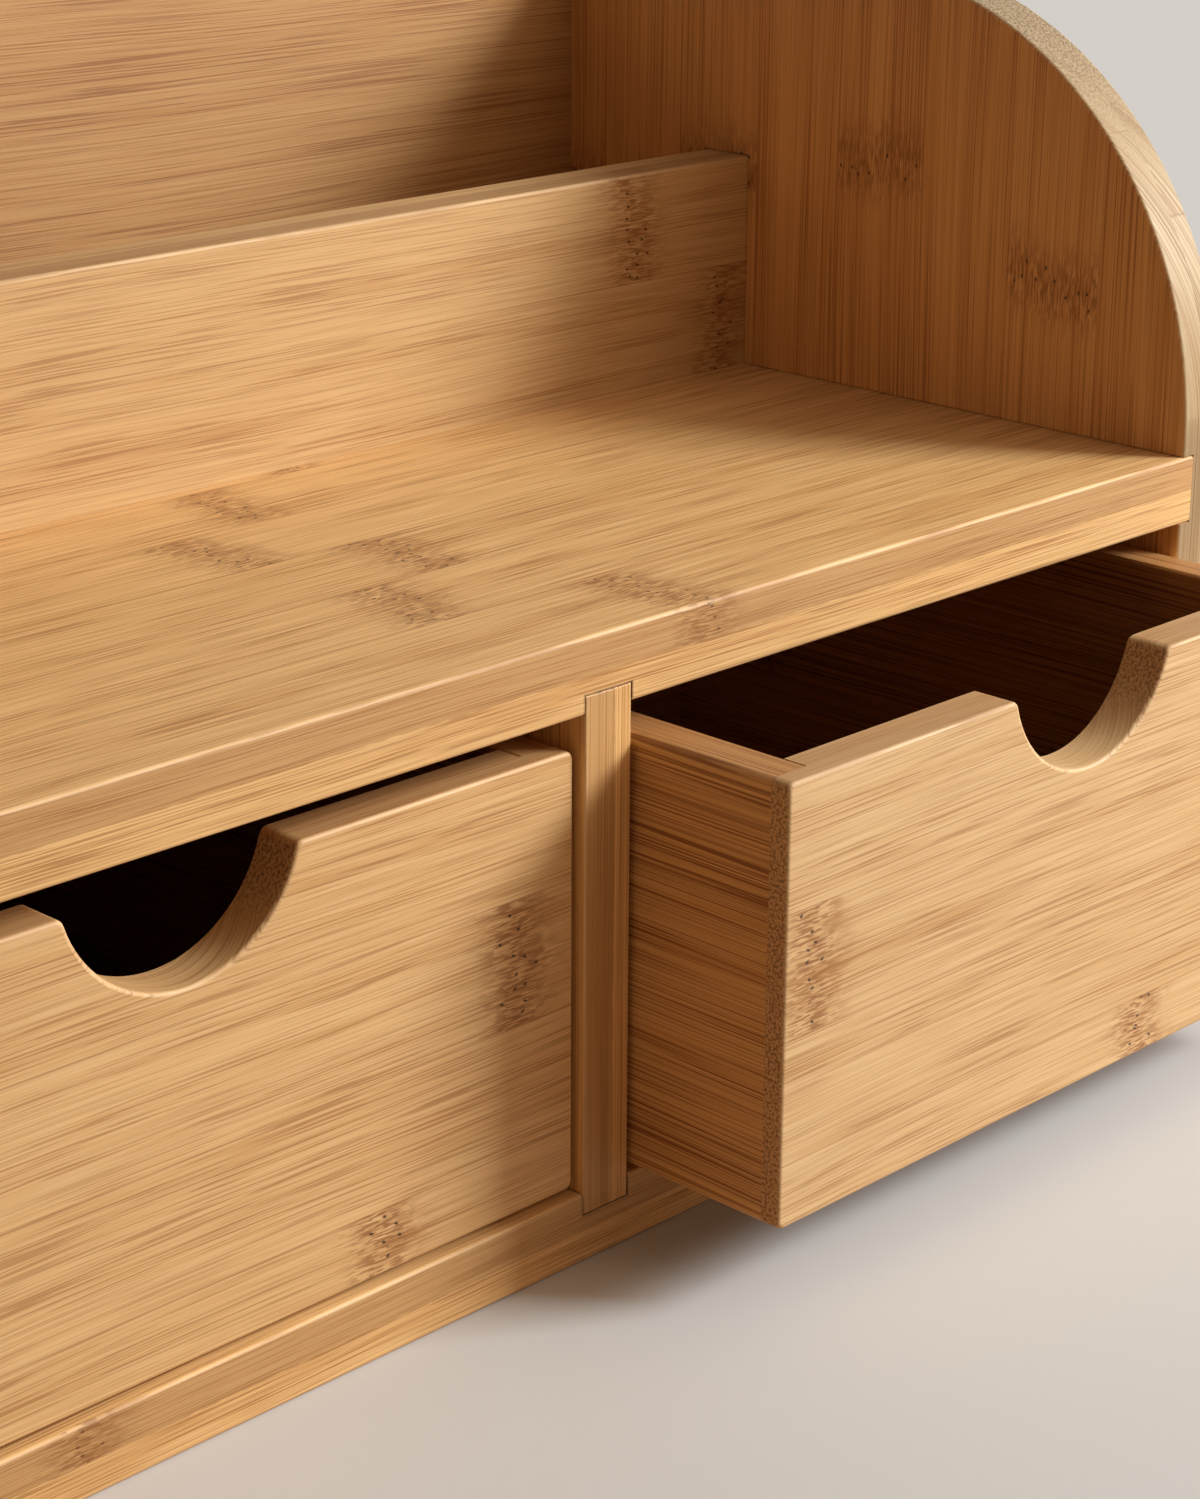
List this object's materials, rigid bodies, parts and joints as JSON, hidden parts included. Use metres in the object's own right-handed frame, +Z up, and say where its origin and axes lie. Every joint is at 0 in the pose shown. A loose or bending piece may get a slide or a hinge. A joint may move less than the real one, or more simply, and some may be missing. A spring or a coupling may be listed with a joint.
{
  "type": "desk organiser",
  "caption": "Bamboo desk organiser: open shelf with curved sides and a letter slot, over drawers side by side with round finger notches.",
  "frame": {"origin": "middle of the carcass's footprint, on the surface that it stands on", "axes": "+X to the right along the width, -Y towards the front where the drawers open, +Z up"},
  "size_m": [0.32, 0.1996, 0.1865],
  "materials": {
    "bamboo": "satin",
    "bamboo_ply": "satin",
    "dowel_wood": "matte"
  },
  "bodies": {
    "carcass": {"side_panel_left": "bamboo", "side_panel_right": "bamboo", "bottom_board": "bamboo", "shelf_board": "bamboo", "drawer_partition": "bamboo", "letter_divider": "bamboo", "back_panel": "bamboo", "bottom_board_dowels": "dowel_wood", "shelf_dowels": "dowel_wood", "divider_dowels": "dowel_wood"},
    "left_drawer": {"left_drawer_front": "bamboo", "left_drawer_side_left": "bamboo", "left_drawer_side_right": "bamboo", "left_drawer_back": "bamboo", "left_drawer_bottom": "bamboo_ply"},
    "right_drawer": {"right_drawer_front": "bamboo", "right_drawer_side_left": "bamboo", "right_drawer_side_right": "bamboo", "right_drawer_back": "bamboo", "right_drawer_bottom": "bamboo_ply"}
  },
  "joints": [
    {"name": "left_drawer_slide", "type": "slide", "parent": "carcass", "child": "left_drawer", "axis": [0, -1, 0], "range_m": [0, 0.135]},
    {"name": "right_drawer_slide", "type": "slide", "parent": "carcass", "child": "right_drawer", "axis": [0, -1, 0], "range_m": [-0.0331, 0.1019]}
  ]
}
